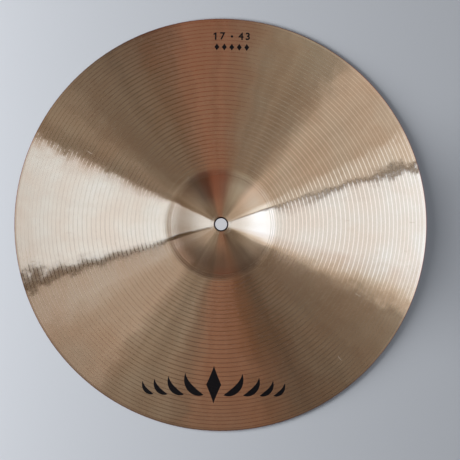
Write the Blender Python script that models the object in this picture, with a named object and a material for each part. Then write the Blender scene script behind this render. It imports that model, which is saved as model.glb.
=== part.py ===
"""A 17 inch crash cymbal, turned from one sheet of bronze, with its printed ink marks.

Metres, +Z up. The origin is on the axis, in the plane that the rim rests on, and +Z points out of
the bell. The prints read upright with +Y up.
"""
import math

import bmesh
import bpy
import numpy as np
from mathutils import Matrix, Vector

# Plan sizes
RIM_RADIUS = 0.4318 / 2
BELL_RADIUS = 0.055
LAND_RADIUS = 0.011       # the pressed flat round the hole, where the felts bear
HOLE_RADIUS = 0.006

# Heights
BOW_RISE = 0.021          # rim to the foot of the bell
BELL_RISE = 0.020         # foot of the bell to its top
DOME_RADIUS = (BELL_RADIUS**2 + BELL_RISE**2) / (2 * BELL_RISE)
FOOT_BLEND = 0.0012       # how softly the bell runs into the bow

# Metal, which thins from the bell to the rim
BELL_METAL = 0.0014
FOOT_METAL = 0.0011
RIM_METAL = 0.0008
RIM_FLAT = 0.0008         # the narrow ring that touches a table
RIM_ROUND = 0.0002
HOLE_ROUND_TOP = 0.0008   # the punched hole's edge is rolled on top and barely broken below
HOLE_ROUND_UNDER = 0.0002

# Mesh
SEGMENTS = 72
DOME_RINGS = 6
FOOT_RINGS = 5
BOW_RINGS = 7
ROUND_STEPS = 2

# Ink, as films that hover over the metal by the gap that separate solids keep
INK_GAP = 0.0003
INK_FILM = 0.0002
PRINT_TURN = math.radians(-1)

# The size print by the rim: two numerals of two digits with a dot between, over five lozenges
SIZE_PRINT_CENTRE = (0.0115, 0.1910)
SIZE_LINE_PITCH = 0.0115
DIGIT_SIZE = 0.0108
DIGIT_PLACES = (("one", "1", -0.0175), ("seven", "7", -0.0100), ("four", "4", 0.0090),
                ("three", "3", 0.0170))
DOT_RADIUS = 0.0013
LOZENGE_PITCH = 0.0078
SMALL_LOZENGE_HALF = (0.0026, 0.0038)

# The ornament opposite: a tall lozenge between two sprays of leaves
ORNAMENT_CENTRE = (-0.0075, -0.1665)
LOZENGE_HALF = (0.0078, 0.0200)
LEAVES = 4                # on each side of the lozenge
LEAF_FIRST = 0.0105       # from the lozenge's middle to the nearest leaf's root
LEAF_LENGTH = 0.0330
LEAF_SHRINK = 0.84        # each leaf's size next to the one before
LEAF_STEP = 0.62          # from root to root, as a share of the leaf's length
LEAF_WIDTH = 0.0074
LEAF_DROP = 0.0110        # of the roots below the middle
LEAF_LEAN = (8, 96)       # degrees, a leaf's direction at its root and at its tip
LEAF_POINTS = 9
TIP_SHARE = 0.05          # a point's width, as a share of the widest

BRONZE = ("bronze", (0.80, 0.62, 0.42), 0.32, 1.0)
INK = ("ink", (0.012, 0.012, 0.014), 0.55, 0.0)


def clear_scene():
    for obj in list(bpy.data.objects):
        bpy.data.objects.remove(obj)


def make_material(name, colour, roughness, metallic):
    material = bpy.data.materials.new(name)
    material.use_nodes = True
    shader = material.node_tree.nodes["Principled BSDF"]
    shader.inputs["Base Color"].default_value = (*colour, 1.0)
    shader.inputs["Roughness"].default_value = roughness
    shader.inputs["Metallic"].default_value = metallic
    return material


def bow_height(radius):
    """The bow is one shallow arc from the rim up to the foot of the bell."""
    share = (RIM_RADIUS**2 - radius**2) / (RIM_RADIUS**2 - BELL_RADIUS**2)
    return RIM_METAL + BOW_RISE * share


def dome_height(radius):
    """The bell is a part of a sphere that stands on the foot."""
    foot = bow_height(BELL_RADIUS)
    drop = math.sqrt(DOME_RADIUS**2 - BELL_RADIUS**2)
    inside = max(DOME_RADIUS**2 - radius**2, 0.0)
    return foot + math.sqrt(inside) - drop


def top_height(radius):
    radius = max(radius, LAND_RADIUS)
    bow, dome = bow_height(radius), dome_height(radius)
    return (bow + dome + math.hypot(bow - dome, FOOT_BLEND)) / 2


def slope_at(radius):
    """Rise over run along a radius, negative where the metal falls away towards the rim."""
    step = 1e-5
    return (top_height(radius + step) - top_height(radius - step)) / (2 * step)


def metal_at(radius):
    if radius < BELL_RADIUS:
        return BELL_METAL + (FOOT_METAL - BELL_METAL) * radius / BELL_RADIUS
    share = (radius - BELL_RADIUS) / (RIM_RADIUS - BELL_RADIUS)
    return FOOT_METAL + (RIM_METAL - FOOT_METAL) * share


def under_point(radius):
    """The point of the underside opposite a point of the top, square to the metal."""
    down = Vector((slope_at(radius), -1)).normalized() * metal_at(radius)
    return radius + down.x, top_height(radius) + down.y


def corner(centre, radius, start_deg, end_deg):
    """Points along a small round in the section."""
    angles = np.radians(np.linspace(start_deg, end_deg, ROUND_STEPS + 1))
    return [(centre[0] + radius * math.cos(a), centre[1] + radius * math.sin(a)) for a in angles]


def shell_radii():
    dome = np.linspace(LAND_RADIUS, BELL_RADIUS * 0.86, DOME_RINGS)
    foot = np.linspace(BELL_RADIUS * 0.93, BELL_RADIUS * 1.10, FOOT_RINGS)
    bow = np.linspace(BELL_RADIUS * 1.35, RIM_RADIUS - 0.004, BOW_RINGS)
    return [float(r) for r in np.concatenate([dome, foot, bow])]


def section():
    """The metal's section as one closed loop of (radius, height), from the hole outwards along the
    underside and back along the top."""
    land = top_height(LAND_RADIUS)
    land_under = land - metal_at(LAND_RADIUS)
    radii = shell_radii()
    hole_top = corner((HOLE_RADIUS + HOLE_ROUND_TOP, land - HOLE_ROUND_TOP),
                      HOLE_ROUND_TOP, 90, 180)
    hole_under = corner((HOLE_RADIUS + HOLE_ROUND_UNDER, land_under + HOLE_ROUND_UNDER),
                        HOLE_ROUND_UNDER, 180, 270)
    underside = [(LAND_RADIUS, land_under)] + [under_point(r) for r in radii[1:]]
    flat_outer = RIM_RADIUS - RIM_ROUND
    rim_foot = [(flat_outer - RIM_FLAT, 0.0)] + corner((flat_outer, RIM_ROUND), RIM_ROUND, -90, 0)
    rim_top = corner((flat_outer, RIM_METAL - RIM_ROUND), RIM_ROUND, 0, 75)
    top = [(r, top_height(r)) for r in reversed(radii)]
    return hole_top + hole_under + underside + rim_foot + rim_top + top


def finish_mesh(bm, name, sharp_deg=35):
    bmesh.ops.recalc_face_normals(bm, faces=bm.faces)
    mesh = bpy.data.meshes.new(name)
    bm.to_mesh(mesh)
    bm.free()
    mesh.shade_smooth()
    mesh.set_sharp_from_angle(angle=math.radians(sharp_deg))
    return mesh


def add_object(name, data, material, place=None):
    obj = bpy.data.objects.new(name, data)
    data.materials.append(material)
    if place:
        obj.matrix_world = place
    bpy.context.scene.collection.objects.link(obj)


def make_cymbal(material):
    bm = bmesh.new()
    loop = [bm.verts.new((r, 0, z)) for r, z in section()]
    edges = [bm.edges.new((a, b)) for a, b in zip(loop, loop[1:] + loop[:1])]
    bmesh.ops.spin(bm, geom=loop + edges, cent=(0, 0, 0), axis=(0, 0, 1),
                   angle=math.tau, steps=SEGMENTS, use_merge=True)
    add_object("cymbal", finish_mesh(bm, "cymbal"), material)


def on_print(centre, across, up):
    """A point of a print in plan, from its place in the print's own upright layout."""
    turned = Matrix.Rotation(PRINT_TURN, 2) @ Vector((across, up))
    return centre[0] + turned.x, centre[1] + turned.y


def make_film(name, rails, material):
    """A film of ink between pairs of points in plan, laid over the metal."""
    bm = bmesh.new()
    rows = []
    for pair in rails:
        rows.append([bm.verts.new((x, y, top_height(math.hypot(x, y)) + INK_GAP))
                     for x, y in pair])
    for (a, b), (c, d) in zip(rows, rows[1:]):
        bm.faces.new((a, b, d, c))
    raised = bmesh.ops.extrude_face_region(bm, geom=list(bm.faces), use_keep_orig=True)
    moved = [v for v in raised["geom"] if isinstance(v, bmesh.types.BMVert)]
    bmesh.ops.translate(bm, verts=moved, vec=(0, 0, INK_FILM))
    add_object(name, finish_mesh(bm, name), material)


def make_lozenge(name, centre, across, up, half, material):
    """A diamond in slices from its lower point to its upper one."""
    rails = []
    for share in np.linspace(-1, 1, 7):
        wide = half[0] * max(1 - abs(share), TIP_SHARE)
        height = up + share * half[1]
        rails.append((on_print(centre, across - wide, height),
                      on_print(centre, across + wide, height)))
    make_film(name, rails, material)


def make_leaf(name, root, size, side, material):
    """A blade that springs sideways from its root and curls up to a point. side is 1 on the right
    of the lozenge and -1 on the left."""
    spine = Vector((root, -LEAF_DROP))
    stride = size * LEAF_LENGTH / (LEAF_POINTS - 1)
    rails = []
    for share in np.linspace(0, 1, LEAF_POINTS):
        lean = math.radians(LEAF_LEAN[0] + (LEAF_LEAN[1] - LEAF_LEAN[0]) * share)
        along = Vector((math.cos(lean), math.sin(lean)))
        half = size * LEAF_WIDTH / 2 * max(math.sin(math.pi * share**0.8), TIP_SHARE)
        rails.append([on_print(ORNAMENT_CENTRE, side * (spine.x - turn * half * along.y),
                               spine.y + turn * half * along.x) for turn in (1, -1)])
        spine += along * stride
    make_film(name, rails, material)


def make_ornament(material):
    make_lozenge("ink_lozenge", ORNAMENT_CENTRE, 0, 0, LOZENGE_HALF, material)
    for side, word in ((-1, "left"), (1, "right")):
        root, size = LEAF_FIRST, 1.0
        for number in range(1, LEAVES + 1):
            make_leaf(f"ink_leaf_{word}_{number}", root, size, side, material)
            root += size * LEAF_LENGTH * LEAF_STEP
            size *= LEAF_SHRINK


def print_place(centre, across, up):
    """A frame for a flat mark, square to the metal under it and upright in the print."""
    x, y = on_print(centre, across, up)
    radius = math.hypot(x, y)
    out = Vector((x, y, 0)) / radius
    normal = (Vector((0, 0, 1)) - slope_at(radius) * out).normalized()
    right = Vector((math.cos(PRINT_TURN), math.sin(PRINT_TURN), 0))
    right = (right - normal * right.dot(normal)).normalized()
    place = Matrix((right, normal.cross(right), normal)).transposed().to_4x4()
    place.translation = Vector((x, y, top_height(radius))) + normal * (INK_GAP + INK_FILM / 2)
    return place


def make_digit(word, digit, across, material):
    curve = bpy.data.curves.new(f"ink_digit_{word}", "FONT")
    curve.body = digit
    curve.size = DIGIT_SIZE
    curve.extrude = INK_FILM / 2
    curve.resolution_u = 3
    curve.align_x = "CENTER"
    curve.align_y = "CENTER"
    place = print_place(SIZE_PRINT_CENTRE, across, SIZE_LINE_PITCH / 2)
    add_object(curve.name, curve, material, place)


def make_dot(material):
    """The round dot between the two numerals."""
    bm = bmesh.new()
    place = print_place(SIZE_PRINT_CENTRE, 0, SIZE_LINE_PITCH / 2)
    bmesh.ops.create_cone(bm, cap_ends=True, segments=12, radius1=DOT_RADIUS,
                          radius2=DOT_RADIUS, depth=INK_FILM, matrix=place)
    add_object("ink_dot", finish_mesh(bm, "ink_dot"), material)


def make_size_print(material):
    for word, digit, across in DIGIT_PLACES:
        make_digit(word, digit, across, material)
    make_dot(material)
    for number in range(5):
        make_lozenge(f"ink_small_lozenge_{number + 1}", SIZE_PRINT_CENTRE,
                     (number - 2) * LOZENGE_PITCH, -SIZE_LINE_PITCH / 2, SMALL_LOZENGE_HALF,
                     material)


def main():
    clear_scene()
    bronze = make_material(*BRONZE)
    ink = make_material(*INK)
    make_cymbal(bronze)
    make_ornament(ink)
    make_size_print(ink)


main()
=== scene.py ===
import math
import random

import bmesh
import bpy
from mathutils import Matrix, Vector, noise


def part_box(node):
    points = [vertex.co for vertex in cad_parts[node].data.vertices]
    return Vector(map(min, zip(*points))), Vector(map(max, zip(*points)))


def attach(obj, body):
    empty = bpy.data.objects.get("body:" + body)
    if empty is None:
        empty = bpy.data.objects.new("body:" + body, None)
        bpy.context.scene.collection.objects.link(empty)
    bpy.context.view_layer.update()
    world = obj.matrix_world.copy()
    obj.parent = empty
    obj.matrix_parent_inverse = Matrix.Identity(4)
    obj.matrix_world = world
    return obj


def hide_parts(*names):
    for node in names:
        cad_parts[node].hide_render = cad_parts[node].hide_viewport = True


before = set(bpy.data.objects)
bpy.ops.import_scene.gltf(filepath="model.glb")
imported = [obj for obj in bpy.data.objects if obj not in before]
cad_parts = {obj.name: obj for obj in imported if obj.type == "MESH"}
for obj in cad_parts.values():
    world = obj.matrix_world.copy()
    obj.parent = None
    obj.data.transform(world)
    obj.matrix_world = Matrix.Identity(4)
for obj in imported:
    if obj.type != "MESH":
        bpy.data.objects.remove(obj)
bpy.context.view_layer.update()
mm = 0.001
print("frame loaded")


# the cymbal is one sheet of bronze, spun from its section, then hammered
cymbal = {
    "bellRadius": 55 * mm,
    "bowRise": 21 * mm,
    "bellRise": 20 * mm,
    "footBlend": 3.6 * mm,      # how softly the bell runs into the bow
    "landRadius": 11 * mm,      # pressed flat round the hole
    "landUnder": 3.2 * mm,      # it runs this much further out underneath
    "holeRadius": 6 * mm,
    "bellMetal": 1.4 * mm,
    "footMetal": 1.1 * mm,
    "rimMetal": 0.8 * mm,
    "rimFlat": 0.8 * mm,
    "rimRound": 0.25 * mm,
    "rimRolled": 78,            # degrees of the top edge that are rounded off
    "holeRoundTop": 0.8 * mm,
    "holeRoundUnder": 0.2 * mm,
    "segments": 240,
}
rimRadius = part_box("cymbal")[1].x

lathe = {
    "firstCut": 60 * mm,        # the even cuts run from here
    "lastCut": 213 * mm,        # to here
    "cuts": 35,
    "bunching": 0.09,           # the feed is finer at both ends than half way
    "footCuts": 4,              # tight cuts round the foot of the bell
    "footPitch": 2.1 * mm,
    "cutDepth": 0.025 * mm,
    "cutHalf": 0.35 * mm,
    "rimMargin": 1.4 * mm,      # left plain at the rim
    "bellPitch": 2.1 * mm,
    "bellDepth": 0.006 * mm,
    "bellMargin": 1.0 * mm,
    "underPitch": 1.9 * mm,
    "underDepth": 0.05 * mm,
    "underDips": (0.0, 1.0, 0.55),
    "underMargin": 3 * mm,
    "crisp": (3, 30),           # degrees that keep an edge sharp, on the cuts and elsewhere
    "crispMargin": 1 * mm,
}

hammer = {
    "rows": 11,
    "firstRow": 66 * mm,
    "lastRow": 207 * mm,
    "spacing": 15 * mm,         # along a row
    "wander": 4 * mm,           # in and out from the row
    "stray": 0.35,              # along it, as a share of the spacing
    "dentRadius": 9.5 * mm,
    "radiusSpread": (0.75, 1.35),
    "dentDepth": 0.014 * mm,
    "depthSpread": (0.4, 1.5),
    "dentFall": 1.6,            # how fast a dent shallows away from its middle
    "dentReach": 2,             # where it ends, in its own radii
    "swellSize": 45 * mm,       # long soft waves left by tensioning the sheet
    "swellDepth": 0.04 * mm,
    "fadeAt": 58 * mm,          # none on the bell
    "fadeOver": 14 * mm,
    "rimFadeAt": 1.5 * mm,      # none at the rim
    "rimFadeOver": 8 * mm,
    "seed": 43,
}


def bowHeight(r):
    c = cymbal
    share = (rimRadius**2 - r**2) / (rimRadius**2 - c["bellRadius"]**2)
    return c["rimMetal"] + c["bowRise"] * share


def domeHeight(r):
    b, rise = cymbal["bellRadius"], cymbal["bellRise"]
    sphere = (b**2 + rise**2) / (2 * rise)
    return bowHeight(b) + math.sqrt(max(sphere**2 - r**2, 0)) - math.sqrt(sphere**2 - b**2)


def topHeight(r):
    r = max(r, cymbal["landRadius"])
    bow, dome = bowHeight(r), domeHeight(r)
    return (bow + dome + math.hypot(bow - dome, cymbal["footBlend"])) / 2


def topSlope(r):
    step = 0.01 * mm
    return (topHeight(r + step) - topHeight(r - step)) / (2 * step)


def metalAt(r):
    c = cymbal
    if r < c["bellRadius"]:
        return c["bellMetal"] + (c["footMetal"] - c["bellMetal"]) * r / c["bellRadius"]
    share = (r - c["bellRadius"]) / (rimRadius - c["bellRadius"])
    return c["footMetal"] + (c["rimMetal"] - c["footMetal"]) * share


def cutCount(r):
    # how many cuts the tool has made by the time it reaches this radius
    share = (r - lathe["firstCut"]) / (lathe["lastCut"] - lathe["firstCut"])
    return lathe["cuts"] * (share + lathe["bunching"] * math.sin(math.tau * share) / math.tau)


def cutRadii():
    radii = [lathe["firstCut"] - lathe["footPitch"] * k for k in range(lathe["footCuts"], 0, -1)]
    step = 0.02 * mm
    r = lathe["firstCut"]
    for number in range(lathe["cuts"] + 1):
        while cutCount(r) < number:
            r += step
        radii.append(r)
    return radii


def bowTop():
    # (radius, height) down the bow, dipping into each cut
    points = []
    radii = cutRadii()
    for r, following in zip(radii, radii[1:] + [rimRadius - lathe["rimMargin"]]):
        half = lathe["cutHalf"]
        for spot, dip in ((r - half, 0), (r, lathe["cutDepth"]), (r + half, 0),
                          ((r + following) / 2, 0)):
            points.append((spot, topHeight(spot) - dip))
    return points


def bellTop():
    # fine even cuts over the bell, from the land to the foot
    points = []
    r = cymbal["landRadius"]
    while r < cutRadii()[0] - lathe["bellMargin"]:
        deep = 0 if len(points) % 2 else lathe["bellDepth"]
        points.append((r, topHeight(r) - deep))
        r += lathe["bellPitch"] / 2
    return points


def underside():
    # the same sheet seen from below, with shallower and wider cuts
    land = topHeight(cymbal["landRadius"])
    points = [(cymbal["landRadius"], land - metalAt(cymbal["landRadius"]))]
    r = cymbal["landRadius"] + cymbal["landUnder"]
    count = 0
    while r < rimRadius - lathe["underMargin"]:
        down = Vector((topSlope(r), -1)).normalized() * metalAt(r)
        dip = lathe["underDips"][count % 3] * lathe["underDepth"] * (r > lathe["firstCut"])
        points.append((r + down.x, topHeight(r) + down.y + dip))
        r += lathe["underPitch"]
        count += 1
    return points


def corner(x, z, radius, start, end, steps=5):
    turns = [math.radians(start + (end - start) * k / steps) for k in range(steps + 1)]
    return [(x + radius * math.cos(a), z + radius * math.sin(a)) for a in turns]


def cymbalSection():
    c = cymbal
    land = topHeight(c["landRadius"])
    landUnder = land - metalAt(c["landRadius"])
    top, under = c["holeRoundTop"], c["holeRoundUnder"]
    edge = rimRadius - c["rimRound"]
    loop = corner(c["holeRadius"] + top, land - top, top, 90, 180, 6)
    loop += corner(c["holeRadius"] + under, landUnder + under, under, 180, 270)
    loop += underside()
    loop += [(edge - c["rimFlat"], 0.0)]
    loop += corner(edge, c["rimRound"], c["rimRound"], -90, 0)
    loop += corner(edge, c["rimMetal"] - c["rimRound"], c["rimRound"], 0, c["rimRolled"])
    loop += reversed(bellTop() + bowTop())
    return loop


def dentList():
    rnd = random.Random(hammer["seed"])
    dents = []
    for row in range(hammer["rows"]):
        share = row / (hammer["rows"] - 1)
        ring = hammer["firstRow"] + (hammer["lastRow"] - hammer["firstRow"]) * share
        count = round(math.tau * ring / hammer["spacing"])
        for k in range(count):
            stray = rnd.uniform(-hammer["stray"], hammer["stray"])
            turn = math.tau * (k + stray + 0.5 * (row % 2)) / count
            r = ring + rnd.uniform(-1, 1) * hammer["wander"]
            size = hammer["dentRadius"] * rnd.uniform(*hammer["radiusSpread"])
            deep = hammer["dentDepth"] * rnd.uniform(*hammer["depthSpread"])
            dents.append((r * math.cos(turn), r * math.sin(turn), size, deep))
    return dents


def dentGrid(cell=25 * mm):
    # dents by place, so that each point of the sheet only looks at its neighbours
    grid = {}
    for dent in dentList():
        key = (math.floor(dent[0] / cell), math.floor(dent[1] / cell))
        grid.setdefault(key, []).append(dent)
    return grid, cell


hammerGrid, hammerCell = dentGrid()


def hammered(x, y):
    r = math.hypot(x, y)
    fade = min(max((r - hammer["fadeAt"]) / hammer["fadeOver"], 0), 1)
    fade *= min(max((rimRadius - hammer["rimFadeAt"] - r) / hammer["rimFadeOver"], 0), 1)
    if fade == 0:
        return 0.0
    where = Vector((x, y, 0.0)) / hammer["swellSize"]
    height = hammer["swellDepth"] * noise.noise(where + Vector((4.2, 1.7, 9.1)))
    i, j = math.floor(x / hammerCell), math.floor(y / hammerCell)
    for di in (-1, 0, 1):
        for dj in (-1, 0, 1):
            for dx, dy, size, deep in hammerGrid.get((i + di, j + dj), ()):
                gap = ((x - dx)**2 + (y - dy)**2) / size**2
                if gap < hammer["dentReach"]**2:
                    height -= deep * math.exp(-hammer["dentFall"] * gap)
    return height * fade


def finishMesh(bm, name, sharp=40):
    mesh = bpy.data.meshes.new(name)
    bm.to_mesh(mesh)
    bm.free()
    mesh.shade_smooth()
    if sharp:
        mesh.set_sharp_from_angle(angle=math.radians(sharp))
    piece = bpy.data.objects.new(name, mesh)
    bpy.context.scene.collection.objects.link(piece)
    return piece


def makeCymbal():
    bm = bmesh.new()
    loop = [bm.verts.new((r, 0, z)) for r, z in cymbalSection()]
    edges = [bm.edges.new((a, b)) for a, b in zip(loop, loop[1:] + loop[:1])]
    bmesh.ops.spin(bm, geom=loop + edges, cent=(0, 0, 0), axis=(0, 0, 1), angle=math.tau,
                   steps=cymbal["segments"], use_merge=True)
    bmesh.ops.recalc_face_normals(bm, faces=bm.faces)
    for v in bm.verts:
        v.co.z += hammered(v.co.x, v.co.y)
    onCuts, elsewhere = (math.radians(angle) for angle in lathe["crisp"])
    first, last = lathe["firstCut"] - lathe["crispMargin"], lathe["lastCut"] + lathe["crispMargin"]
    for e in bm.edges:
        cutHere = first < math.hypot(*e.verts[0].co.xy) < last
        e.smooth = e.calc_face_angle(0) < (onCuts if cutHere else elsewhere)
    return finishMesh(bm, "cymbalSheet", 0)


cymbalSheet = makeCymbal()
print("cymbal spun and hammered:", len(cymbalSheet.data.polygons), "faces")


# thin prints of ink, laid over the bow
ink = {
    "lift": 0.012 * mm,         # clear of the metal's ridges
    "film": 0.03 * mm,
    "cell": 1.2 * mm,           # each mark is cut this fine, to follow the hammered sheet
    "turn": math.radians(-1),
    "sizeCentre": (11.5 * mm, 191.0 * mm),
    "linePitch": 11.5 * mm,
    "digitSize": 10.8 * mm,
    "digitBold": 0.25 * mm,
    "digits": (("One", "1", -17.0), ("Seven", "7", -10.0), ("Four", "4", 9.5), ("Three", "3", 16.6)),
    "oneOutline": ((0.8, -3.9), (0.8, 3.95), (-0.35, 3.95), (-2.3, 2.6), (-2.3, 1.15),
                   (-0.8, 1.95), (-0.8, -3.9)),
    "curveSteps": 6,
    "dotRadius": 1.3 * mm,
    "dotSides": 28,
    "smallLozenges": 5,
    "smallPitch": 7.8 * mm,
    "smallHalf": (2.6 * mm, 3.8 * mm),
    "ornamentCentre": (-7.5 * mm, -166.5 * mm),
    "lozengeHalf": (7.8 * mm, 20 * mm),
    "lozengeDraw": 1.12,        # above 1 the sides draw in between the points
    "lozengePoints": 24,
    "tip": (0.012, 0.015),      # how blunt the ends are, on a lozenge and a leaf
    "leaves": 4,
    "leafFirst": 10.5 * mm,
    "leafLength": 33 * mm,
    "leafShrink": 0.84,
    "leafStep": 0.62,
    "leafWidth": 7.4 * mm,
    "leafDrop": 11 * mm,
    "leafLean": (8, 96),
    "leafBelly": 0.8,           # below 1 the widest place is nearer the root
    "leafPoints": 26,
    "grainScale": 900.0,
    "colours": ((0.004, 0.0035, 0.004, 1), (0.011, 0.009, 0.009, 1)),
    "roughness": (0.45, 0.62),
    "gloss": 0.15,
}


def onPrint(centre, across, up):
    spot = Matrix.Rotation(ink["turn"], 2) @ Vector((across, up))
    return centre[0] + spot.x, centre[1] + spot.y


def layInk(bm, name):
    # cuts flat faces into small ones, drapes them over the bow and gives them the film's thickness
    cell = ink["cell"]
    xs = [v.co.x for v in bm.verts]
    ys = [v.co.y for v in bm.verts]
    for low, high, axis in ((min(xs), max(xs), 0), (min(ys), max(ys), 1)):
        spot = low + cell
        while spot < high - 0.2 * cell:
            where = Vector((0, 0, 0))
            where[axis] = spot
            across = Vector((0, 0, 0))
            across[axis] = 1
            geom = bm.verts[:] + bm.edges[:] + bm.faces[:]
            bmesh.ops.bisect_plane(bm, geom=geom, plane_co=where, plane_no=across, dist=1e-6)
            spot += cell
    for v in bm.verts:
        r = math.hypot(v.co.x, v.co.y)
        v.co.z = topHeight(r) + hammered(v.co.x, v.co.y) + ink["lift"]
    under = bm.faces[:]
    for f in under:
        f.normal_update()
        if f.normal.z > 0:
            f.normal_flip()
    raised = bmesh.ops.extrude_face_region(bm, geom=under, use_keep_orig=True)
    moved = [v for v in raised["geom"] if isinstance(v, bmesh.types.BMVert)]
    bmesh.ops.translate(bm, verts=moved, vec=(0, 0, ink["film"]))
    bmesh.ops.recalc_face_normals(bm, faces=bm.faces)
    return finishMesh(bm, name)


def flatStrip(steps):
    # faces in a row, from -1 to 1 both ways, for a mark to be shaped from
    bm = bmesh.new()
    bmesh.ops.create_grid(bm, x_segments=1, y_segments=steps, size=1)
    return bm


def makeLozenge(name, centre, across, up, half):
    bm = flatStrip(ink["lozengePoints"])
    for v in bm.verts:
        side, share = v.co.x, v.co.y
        wide = half[0] * max((1 - abs(share))**ink["lozengeDraw"], ink["tip"][0])
        v.co.x, v.co.y = onPrint(centre, across + side * wide, up + share * half[1])
    return layInk(bm, name)


def makeLeaf(name, root, size, side):
    steps = ink["leafPoints"]
    low, high = ink["leafLean"]
    spine = Vector((root, -ink["leafDrop"]))
    rows = []
    for k in range(steps + 1):
        lean = math.radians(low + (high - low) * k / steps)
        along = Vector((math.cos(lean), math.sin(lean)))
        belly = max(math.sin(math.pi * (k / steps)**ink["leafBelly"]), ink["tip"][1])
        rows.append((spine.copy(), along, size * ink["leafWidth"] / 2 * belly))
        spine += along * size * ink["leafLength"] / steps
    bm = flatStrip(steps)
    for v in bm.verts:
        spot, along, half = rows[round((v.co.y + 1) / 2 * steps)]
        out = v.co.x * half
        v.co.x, v.co.y = onPrint(ink["ornamentCentre"], side * (spot.x - out * along.y),
                                 spot.y + out * along.x)
    return layInk(bm, name)


def fontDigit(digit):
    # a figure of the plain font as flat faces, made bolder by letting its outline out
    curve = bpy.data.curves.new(digit, "FONT")
    curve.body = digit
    curve.size = ink["digitSize"]
    curve.resolution_u = ink["curveSteps"]
    curve.align_x = "CENTER"
    curve.align_y = "CENTER"
    letter = bpy.data.objects.new(digit, curve)
    bpy.context.scene.collection.objects.link(letter)
    bpy.context.view_layer.update()
    bm = bmesh.new()
    bm.from_mesh(bpy.data.meshes.new_from_object(letter))
    bpy.data.objects.remove(letter)
    bmesh.ops.remove_doubles(bm, verts=bm.verts, dist=1e-6)
    bmesh.ops.dissolve_limit(bm, angle_limit=0.01, verts=bm.verts, edges=bm.edges)
    band = bmesh.ops.inset_region(bm, faces=bm.faces[:], thickness=-ink["digitBold"],
                                  use_boundary=True, use_even_offset=True)
    bmesh.ops.delete(bm, geom=band["faces"], context="FACES")
    return bm


def plainOne():
    bm = bmesh.new()
    bm.faces.new([bm.verts.new((x * mm, y * mm, 0)) for x, y in ink["oneOutline"]])
    return bm


def makeDigit(name, digit, across):
    bm = plainOne() if digit == "1" else fontDigit(digit)
    for v in bm.verts:
        v.co.x, v.co.y = onPrint(ink["sizeCentre"], across * mm + v.co.x,
                                 ink["linePitch"] / 2 + v.co.y)
    return layInk(bm, name)


def makeDot():
    bm = bmesh.new()
    x, y = onPrint(ink["sizeCentre"], 0, ink["linePitch"] / 2)
    bmesh.ops.create_circle(bm, cap_ends=True, segments=ink["dotSides"],
                            radius=ink["dotRadius"], matrix=Matrix.Translation((x, y, 0)))
    return layInk(bm, "dotInk")


inkPieces = [(makeLozenge("lozengeInk", ink["ornamentCentre"], 0, 0, ink["lozengeHalf"]),
              "ink_lozenge")]
for side, word in ((-1, "left"), (1, "right")):
    root, size = ink["leafFirst"], 1.0
    for number in range(1, ink["leaves"] + 1):
        name = f"leafInk{word.capitalize()}{number}"
        inkPieces.append((makeLeaf(name, root, size, side), f"ink_leaf_{word}_{number}"))
        root += size * ink["leafLength"] * ink["leafStep"]
        size *= ink["leafShrink"]
for word, digit, across in ink["digits"]:
    inkPieces.append((makeDigit(f"digitInk{word}", digit, across), f"ink_digit_{word.lower()}"))
inkPieces.append((makeDot(), "ink_dot"))
for number in range(1, ink["smallLozenges"] + 1):
    across = (number - (ink["smallLozenges"] + 1) / 2) * ink["smallPitch"]
    piece = makeLozenge(f"smallLozengeInk{number}", ink["sizeCentre"], across,
                        -ink["linePitch"] / 2, ink["smallHalf"])
    inkPieces.append((piece, f"ink_small_lozenge_{number}"))
print("ink laid:", len(inkPieces), "marks")


def newMaterial(name):
    material = bpy.data.materials.new(name)
    material.use_nodes = True
    tree = material.node_tree
    return material, tree, tree.nodes["Principled BSDF"]


def addNode(tree, kind, inputs=None, **settings):
    node = tree.nodes.new(kind)
    for key, value in settings.items():
        setattr(node, key, value)
    for key, value in (inputs or {}).items():
        if isinstance(value, bpy.types.NodeSocket):
            tree.links.new(value, node.inputs[key])
        else:
            node.inputs[key].default_value = value
    return node


def doMath(tree, operation, a, b=0.0, c=0.0):
    return addNode(tree, "ShaderNodeMath", {0: a, 1: b, 2: c}, operation=operation).outputs[0]


def doVector(tree, operation, a, b=(0, 0, 0), c=(0, 0, 0), scale=1.0):
    node = addNode(tree, "ShaderNodeVectorMath", {0: a, 1: b, 2: c, 3: scale}, operation=operation)
    return node.outputs["Vector"]


def mapRange(tree, value, low, high, toLow=0.0, toHigh=1.0):
    inputs = {"Value": value, "From Min": low, "From Max": high, "To Min": toLow, "To Max": toHigh}
    return addNode(tree, "ShaderNodeMapRange", inputs).outputs["Result"]


def mixColour(tree, share, a, b, blend="MIX"):
    node = addNode(tree, "ShaderNodeMix", data_type="RGBA", blend_type=blend, clamp_factor=False)
    for key, value in ((0, share), (6, a), (7, b)):     # the colour mix's own sockets
        if isinstance(value, bpy.types.NodeSocket):
            tree.links.new(value, node.inputs[key])
        else:
            node.inputs[key].default_value = value
    return node.outputs[2]


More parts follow.
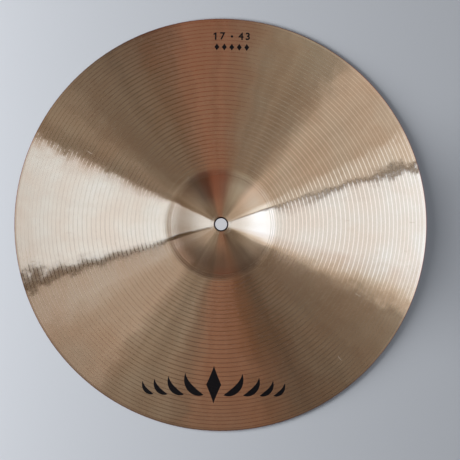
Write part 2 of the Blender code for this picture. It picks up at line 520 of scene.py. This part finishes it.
bronze = {
    "colour": (0.80, 0.62, 0.42, 1),
    "warmColour": (0.78, 0.56, 0.36, 1),
    "cloudScale": 22.0,
    "roughness": 0.11,
    "roughSpread": (0.9, 1.1),
    "finePitch": 0.23 * mm,     # tool marks too fine to model
    "fineSlope": 0.07,
    "jitterSize": 3 * mm,       # over this the fine pitch drifts
    "jitter": 40.0,             # by this many radians
    "cutShare": 0.1,            # half of a cut's width, in turns of the tool
    "cutCore": 0.4,             # the share of it that leans in full
    "cutLean": (0.67, 0.40),    # how far its side leans outward, at the first cut and the last
    "waver": math.radians(7),   # how far the marks swing off true round
    "waverAcross": 5.0,
    "waverAlong": 1 / (60 * mm),
    "mottle": math.radians(6),  # the same in soft patches, most of all near the rim
    "mottleSize": 17 * mm,
    "scratchPitch": (0.0022, 9 * mm),       # thin marks across the cuts: radians wide, and long
    "scratchShare": 0.0007,
    "scratchEdge": (0.3, 0.42),
    "scratchSwing": 0.7,
    "holeEdge": 7.45 * mm,      # dark round the hole
    "edgeColour": (0.045, 0.026, 0.024, 1),
    # painted reflection: a thin copper band on the rim's edge stands in for the bright line its
    # rounded edge reflects
    "rimReflectionBand": 0.6 * mm,
    "rimReflectionColour": (0.48, 0.23, 0.15, 1),
}


def bronzeMaterial():
    b = bronze
    material, tree, shader = newMaterial("lathedBronze")
    place = addNode(tree, "ShaderNodeTexCoord").outputs["Object"]
    split = addNode(tree, "ShaderNodeSeparateXYZ", {0: place})
    x, y, z = split.outputs
    radius = doMath(tree, "SQRT", doMath(tree, "MULTIPLY_ADD", x, x, doMath(tree, "MULTIPLY", y, y)))

    # fine tool marks: each one leans the surface in, then out
    jitter = addNode(tree, "ShaderNodeTexNoise",
                     {"W": radius, "Scale": 1 / b["jitterSize"], "Detail": 3.0},
                     noise_dimensions="1D").outputs["Fac"]
    phase = doMath(tree, "MULTIPLY_ADD", radius, math.tau / b["finePitch"],
                   doMath(tree, "MULTIPLY", jitter, b["jitter"]))
    lean = doMath(tree, "MULTIPLY", doMath(tree, "SINE", phase), b["fineSlope"])

    # the cuts: their outer sides lean much further out
    span = lathe["lastCut"] - lathe["firstCut"]
    share = doMath(tree, "DIVIDE", doMath(tree, "SUBTRACT", radius, lathe["firstCut"]), span)
    wave = doMath(tree, "SINE", doMath(tree, "MULTIPLY", share, math.tau))
    count = doMath(tree, "MULTIPLY_ADD", wave, lathe["bunching"] / math.tau, share)
    count = doMath(tree, "MULTIPLY", count, lathe["cuts"])
    footCount = doMath(tree, "MULTIPLY", share, span / lathe["footPitch"])
    footCount = doMath(tree, "MAXIMUM", footCount, -lathe["footCuts"] - 0.3)
    onBow = doMath(tree, "GREATER_THAN", share, 0.0)
    count = doMath(tree, "ADD", doMath(tree, "MULTIPLY", count, onBow),
                   doMath(tree, "MULTIPLY", footCount, doMath(tree, "SUBTRACT", 1.0, onBow)))
    fromCut = doMath(tree, "PINGPONG", count, 0.5)
    cut = mapRange(tree, fromCut, b["cutShare"] * b["cutCore"], b["cutShare"], 1.0, 0.0)
    lean = doMath(tree, "MULTIPLY", lean, doMath(tree, "SUBTRACT", 1.0, cut))
    cutLean = mapRange(tree, share, 0.0, 1.0, *b["cutLean"])
    lean = doMath(tree, "MULTIPLY_ADD", cut, cutLean, lean)
    around = addNode(tree, "ShaderNodeTangent", direction_type="RADIAL", axis="Z").outputs[0]
    facing = addNode(tree, "ShaderNodeNewGeometry").outputs["Normal"]
    outward = doVector(tree, "CROSS_PRODUCT", around, facing)
    tipped = doVector(tree, "MULTIPLY_ADD", outward, lean, facing)

    # hammering makes the marks swing to and fro in long thin wisps
    flatPlace = addNode(tree, "ShaderNodeCombineXYZ", {0: x, 1: y}).outputs[0]
    spoke = doVector(tree, "SCALE", doVector(tree, "NORMALIZE", flatPlace), scale=b["waverAcross"])
    along = addNode(tree, "ShaderNodeCombineXYZ",
                    {2: doMath(tree, "MULTIPLY", radius, b["waverAlong"])}).outputs[0]
    wisps = addNode(tree, "ShaderNodeTexNoise",
                    {"Vector": doVector(tree, "ADD", spoke, along), "Scale": 1.0, "Detail": 7.0,
                     "Roughness": 0.7}).outputs["Fac"]
    swing = mapRange(tree, wisps, 0.0, 1.0, -b["waver"], b["waver"])
    patches = addNode(tree, "ShaderNodeTexNoise",
                      {"Vector": place, "Scale": 1 / b["mottleSize"], "Detail": 4.0,
                       "Roughness": 0.62}).outputs["Fac"]
    patches = mapRange(tree, patches, 0.0, 1.0, -b["mottle"], b["mottle"])
    swing = doMath(tree, "MULTIPLY_ADD", patches, mapRange(tree, share, -0.2, 0.8, 0.1, 1.0), swing)
    wide, long = b["scratchPitch"]
    polar = addNode(tree, "ShaderNodeCombineXYZ",
                    {0: doMath(tree, "DIVIDE", doMath(tree, "ARCTAN2", y, x), wide),
                     1: doMath(tree, "DIVIDE", radius, long)}).outputs[0]
    cells = addNode(tree, "ShaderNodeTexVoronoi", {"Vector": polar, "Scale": 1.0},
                    voronoi_dimensions="2D")
    lot = addNode(tree, "ShaderNodeSeparateXYZ", {0: cells.outputs["Color"]}).outputs[0]
    rare = doMath(tree, "LESS_THAN", lot, b["scratchShare"])
    line = mapRange(tree, cells.outputs["Distance"], *b["scratchEdge"], 1.0, 0.0)
    scratch = doMath(tree, "MULTIPLY", rare, line)
    swing = doMath(tree, "MULTIPLY_ADD", scratch, b["scratchSwing"], swing)
    swung = addNode(tree, "ShaderNodeVectorRotate", {"Vector": tipped, "Angle": swing},
                    rotation_type="Z_AXIS").outputs[0]
    tree.links.new(doVector(tree, "NORMALIZE", swung), shader.inputs["Normal"])

    broad = addNode(tree, "ShaderNodeTexNoise",
                    {"Vector": place, "Scale": b["cloudScale"], "Detail": 3.0}).outputs["Fac"]
    colour = mixColour(tree, mapRange(tree, broad, 0.35, 0.65), b["colour"], b["warmColour"])
    atHole = doMath(tree, "LESS_THAN", radius, b["holeEdge"])
    # painted reflection: the outermost band of the rim is tinted copper for the line its rounded
    # edge reflects
    atRimReflection = doMath(tree, "GREATER_THAN", radius, rimRadius - b["rimReflectionBand"])
    colour = mixColour(tree, atHole, colour, b["edgeColour"])
    colour = mixColour(tree, atRimReflection, colour, b["rimReflectionColour"])
    tree.links.new(colour, shader.inputs["Base Color"])
    smoother, rougher = (b["roughness"] * part for part in b["roughSpread"])
    rough = mapRange(tree, broad, 0.3, 0.7, smoother, rougher)
    tree.links.new(rough, shader.inputs["Roughness"])
    tree.links.new(around, shader.inputs["Tangent"])
    shader.inputs["Metallic"].default_value = 1.0
    shader.inputs["Anisotropic"].default_value = 1.0
    shader.inputs["Anisotropic Rotation"].default_value = 0.25
    return material


def inkMaterial():
    material, tree, shader = newMaterial("printedInk")
    place = addNode(tree, "ShaderNodeTexCoord").outputs["Object"]
    grain = addNode(tree, "ShaderNodeTexNoise",
                    {"Vector": place, "Scale": ink["grainScale"], "Detail": 3.0}).outputs["Fac"]
    colour = mixColour(tree, mapRange(tree, grain, 0.35, 0.7), *ink["colours"])
    tree.links.new(colour, shader.inputs["Base Color"])
    rough = mapRange(tree, grain, 0.3, 0.7, *ink["roughness"])
    tree.links.new(rough, shader.inputs["Roughness"])
    shader.inputs["Specular IOR Level"].default_value = ink["gloss"]
    return material


bronzeFinish = bronzeMaterial()
inkFinish = inkMaterial()
cymbalSheet.data.materials.append(bronzeFinish)
for piece, node in inkPieces:
    piece.data.materials.append(inkFinish)
print("materials made")


# the room that the bronze mirrors
tones = {
    "window": (0.92, 1.12, 1.51),
    "leftWindow": (0.97, 1.21, 1.66),
    "slit": (0.17, 0.15, 0.14),
    "paleWall": (0.63, 0.66, 0.735),
    "greyWall": (0.555, 0.56, 0.615),
    "tanWall": (0.48, 0.455, 0.455),
    "frontTan": (0.485, 0.455, 0.465),
    "oliveWall": (0.255, 0.23, 0.22),
    "frontOlive": (0.298, 0.274, 0.26),
    "brownWall": (0.25, 0.2, 0.18),
    "copper": (0.29, 0.182, 0.152),
    "redBrown": (0.205, 0.15, 0.13),
    "darkBrown": (0.20, 0.12, 0.092),
    "shade": (0.20, 0.175, 0.158),
    "frontShade": (0.185, 0.162, 0.148),
    "darkShade": (0.122, 0.094, 0.082),
    "softShade": (0.26, 0.24, 0.23),
    "blind": (0.80, 0.90, 1.15),            # the window's edge, behind a thin blind
    "middle": (0.36, 0.33, 0.32, 1),        # the tone between the room's lights and darks
    "leftDim": (0.68, 0.61, 0.56, 1),       # what the steep bell sees on each side
    "rightBright": (1.22, 1.33, 1.48, 1),
    "frontDim": (0.78, 0.76, 0.75, 1),
    "panelDark": (0.68, 0.66, 0.64, 1),
    "panelPale": (1.30, 1.33, 1.36, 1),
    "cutLight": (1.22, 1.50, 2.05),         # the most that the side of a cut can catch
    "leftFill": (0.23, 0.24, 0.255, 1),     # what lights the table
    "rightFill": (0.15, 0.156, 0.17, 1),
    "backdrop": (0.50, 0.53, 0.58, 1),
}

# what stands round the table, by its direction in degrees anticlockwise from +X
backHalf = [(0, "window"), (15.8, "window"), (17.2, "slit"), (18.3, "slit"),
            (19.6, "paleWall"), (24, "paleWall"), (27, "tanWall"), (47, "tanWall"),
            (56.5, "oliveWall"), (73, "oliveWall"), (78.5, "brownWall"), (87.5, "copper"),
            (99, "copper"), (105.5, "redBrown"), (115.5, "shade"), (134, "shade"),
            (142, "softShade"), (152.5, "softShade"), (153.7, "greyWall"), (154.8, "blind"),
            (156.5, "leftWindow"), (180, "leftWindow")]
frontHalf = [(180, "leftWindow"), (192.6, "leftWindow"), (194.2, "slit"), (197.5, "slit"),
             (199, "greyWall"), (207.5, "greyWall"), (213.5, "frontTan"), (230, "frontTan"),
             (236.5, "frontOlive"), (251, "frontOlive"), (257.5, "brownWall"), (264.5, "copper"),
             (278, "copper"), (284.5, "darkBrown"), (295.5, "darkShade"), (301, "darkShade"),
             (307, "frontShade"), (330, "frontShade"), (334.5, "softShade"), (337.5, "tanWall"),
             (341.5, "paleWall"), (346, "blind"), (350.5, "window"), (360, "window")]

# how much lighter or darker the same things are low down
lowBand = [(0, (1.3, 1.3, 1.3)), (10, (1.3, 1.3, 1.3)), (20, (1.4, 1.4, 1.4)),
           (34, (1.28, 1.3, 1.35)), (49, (1.3, 1.25, 1.25)), (62, (1.5, 1.7, 1.75)),
           (74, (1.25, 1.3, 1.3)), (85, (0.76, 0.7, 0.72)), (97, (0.88, 0.68, 0.64)),
           (109, (0.58, 0.38, 0.38)), (122, (0.66, 0.68, 0.76)), (134, (1.3, 1.4, 1.55)),
           (148, (1.25, 1.25, 1.25)), (158, (0.78, 0.73, 0.68)), (170, (0.76, 0.72, 0.68)),
           (188, (0.66, 0.6, 0.54)), (197, (0.85, 0.83, 0.8)), (208, (0.76, 0.76, 0.78)),
           (229, (0.5, 0.5, 0.5)), (241, (0.78, 0.78, 0.84)), (252, (0.56, 0.49, 0.48)),
           (263, (0.68, 0.77, 0.8)), (275, (0.6, 0.66, 0.68)), (287, (0.95, 0.95, 0.95)),
           (298, (0.95, 0.95, 0.95)), (310, (0.7, 0.68, 0.68)), (324, (1.5, 1.55, 1.6)),
           (336, (1.8, 1.95, 2.1)), (348, (1.4, 1.45, 1.5)), (360, (1.3, 1.3, 1.3))]


# heights are the z of a direction: 1 is straight up and 0 is level
room = {
    "panelScale": 18.0,
    "panelTones": (0.25, 0.6),          # darker walls show their panels in full, paler ones
    "palePanels": 0.25,                 # this much
    "panelHeights": (0.8, 0.93),
    "lowPanels": 0.3,
    "contrastHeights": (0.89, 0.98),
    "contrast": (0.87, 1.05),
    "lowHeights": (0.872, 0.80),        # where lowBand sets in
    "sideHeights": (0.85, 0.6),         # where the bell's tints set in
    "sideReach": (-0.6, 0.6),
    "frontReach": (0.1, -0.5),
    "cutHeights": (0.36, 0.30),         # down here, where the sides of the cuts look,
    "cutGamma": 2.4,                    # the lights are lighter and the darks darker
    "cutGain": 3.9,
}


def stopsToRamp(tree, share, stops):
    ramp = addNode(tree, "ShaderNodeValToRGB", {0: share})
    elements = ramp.color_ramp.elements
    elements[0].color = (*stops[0][1], 1)
    elements[1].color = (*stops[-1][1], 1)
    first, last = stops[0][0], stops[-1][0]
    for turn, colour in stops[1:-1]:
        elements.new((turn - first) / (last - first)).color = (*colour, 1)
    return ramp.outputs[0]


def makeWorld():
    world = bpy.data.worlds.new("studio")
    bpy.context.scene.world = world
    world.use_nodes = True
    tree = world.node_tree
    background = tree.nodes["Background"]
    way = addNode(tree, "ShaderNodeTexCoord").outputs["Generated"]
    x, y, z = addNode(tree, "ShaderNodeSeparateXYZ", {0: way}).outputs
    turn = doMath(tree, "ARCTAN2", y, x)
    backShare = doMath(tree, "DIVIDE", turn, math.pi)
    frontShare = doMath(tree, "ADD", backShare, 1.0)
    inFront = doMath(tree, "LESS_THAN", y, 0.0)
    halves = [stopsToRamp(tree, along, [(at, tones[name]) for at, name in stops])
              for along, stops in ((backShare, backHalf), (frontShare, frontHalf))]
    ring = mixColour(tree, inFront, *halves)
    fullShare = doMath(tree, "ADD", doMath(tree, "DIVIDE", backShare, 2.0), inFront)
    low = stopsToRamp(tree, fullShare, lowBand)

    # panels on the walls
    flatWay = addNode(tree, "ShaderNodeCombineXYZ", {0: x, 1: y}).outputs[0]
    grain = addNode(tree, "ShaderNodeTexNoise",
                    {"Vector": doVector(tree, "NORMALIZE", flatWay), "Scale": room["panelScale"],
                     "Detail": 6.0, "Roughness": 0.6}).outputs["Fac"]
    panels = mixColour(tree, mapRange(tree, grain, 0.3, 0.7), tones["panelDark"],
                       tones["panelPale"])
    tone = addNode(tree, "ShaderNodeRGBToBW", {0: ring}).outputs[0]
    strength = doMath(tree, "MULTIPLY",
                      mapRange(tree, tone, *room["panelTones"], 1.0, room["palePanels"]),
                      mapRange(tree, z, *room["panelHeights"], room["lowPanels"], 1.0))
    ring = mixColour(tree, strength, ring, panels, "MULTIPLY")

    # what each zone of the cymbal sees, from the bow down to the sides of the cuts
    atCuts = addNode(tree, "ShaderNodeGamma", {"Color": ring, "Gamma": room["cutGamma"]}).outputs[0]
    atCuts = doVector(tree, "SCALE", atCuts, scale=room["cutGain"])
    atCuts = doVector(tree, "MINIMUM", atCuts, tones["cutLight"])
    contrast = mapRange(tree, z, *room["contrastHeights"], *room["contrast"])
    ring = mixColour(tree, contrast, tones["middle"], ring)
    ring = mixColour(tree, mapRange(tree, z, *room["lowHeights"]), ring, low, "MULTIPLY")
    sides = mixColour(tree, mapRange(tree, x, *room["sideReach"]), tones["leftDim"],
                      tones["rightBright"])
    sides = mixColour(tree, mapRange(tree, y, *room["frontReach"]), sides, tones["frontDim"],
                      "MULTIPLY")
    ring = mixColour(tree, mapRange(tree, z, *room["sideHeights"]), ring, sides, "MULTIPLY")
    ring = mixColour(tree, mapRange(tree, z, *room["cutHeights"]), ring, atCuts)

    path = addNode(tree, "ShaderNodeLightPath").outputs
    fill = mixColour(tree, mapRange(tree, x, -1.0, 1.0), tones["leftFill"], tones["rightFill"])
    colour = mixColour(tree, path["Is Glossy Ray"], fill, ring)
    colour = mixColour(tree, path["Is Camera Ray"], colour, tones["backdrop"])
    tree.links.new(colour, background.inputs["Color"])


table = {
    "size": 8.0,
    "gap": 0.1 * mm,            # under the rim
    "colour": (0.66, 0.68, 0.71, 1),
    "glowRadius": 14 * mm,      # painted light: a patch of table under the hole glows, so the hole reads bright where the bell shades it
    "glow": (0.52, 0.53, 0.56, 1),
    "roughness": 0.6,
    "gloss": 0.2,
}


def makeFloor():
    bm = bmesh.new()
    bmesh.ops.create_grid(bm, x_segments=1, y_segments=1, size=table["size"],
                          matrix=Matrix.Translation((0, 0, -table["gap"])))
    floor = finishMesh(bm, "floor")
    material, tree, shader = newMaterial("paleTable")
    place = addNode(tree, "ShaderNodeTexCoord").outputs["Object"]
    away = addNode(tree, "ShaderNodeVectorMath", {0: place}, operation="LENGTH").outputs["Value"]
    shader.inputs["Base Color"].default_value = table["colour"]
    shader.inputs["Roughness"].default_value = table["roughness"]
    shader.inputs["Specular IOR Level"].default_value = table["gloss"]
    shader.inputs["Emission Color"].default_value = table["glow"]
    # painted light: the table glows in a patch under the hole
    glow = doMath(tree, "LESS_THAN", away, table["glowRadius"])
    tree.links.new(glow, shader.inputs["Emission Strength"])
    floor.data.materials.append(material)


leftKey = {
    "spot": (-1.6, 0.05, 0.26),         # low, so that the rim throws a shadow to the right
    "size": (1.25, 0.12),
    "power": 92,
    "colour": (0.97, 0.98, 1),
}


def makeLight(name, key):
    light = bpy.data.lights.new(name, "AREA")
    light.shape = "RECTANGLE"
    light.size, light.size_y = key["size"]
    light.energy = key["power"]
    light.color = key["colour"]
    lamp = bpy.data.objects.new(name, light)
    lamp.location = key["spot"]
    lamp.rotation_euler = (-Vector(key["spot"])).to_track_quat("-Z", "Y").to_euler()
    lamp.visible_glossy = False
    lamp.visible_camera = False
    bpy.context.scene.collection.objects.link(lamp)


view = {
    "spot": (-0.008, -0.014, 1.35),
    "aim": (0.0096, -0.0056, 0),
    "wide": 0.4821,
    "sensor": 36,
}


def makeCamera():
    data = bpy.data.cameras.new("camera")
    distance = view["spot"][2]
    data.sensor_width = view["sensor"]
    data.lens = view["sensor"] * distance / view["wide"]
    camera = bpy.data.objects.new("camera", data)
    camera.location = view["spot"]
    lean = Vector(view["aim"]) - camera.location
    camera.rotation_euler = (math.atan2(lean.y, distance), -math.atan2(lean.x, distance), 0)
    bpy.context.scene.collection.objects.link(camera)
    bpy.context.scene.camera = camera


makeWorld()
makeFloor()
makeLight("leftKey", leftKey)
makeCamera()
bpy.context.scene.view_settings.view_transform = "Standard"
print("studio made")

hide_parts("cymbal")
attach(cymbalSheet, "root")
for piece, node in inkPieces:
    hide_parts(node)
    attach(piece, "root")
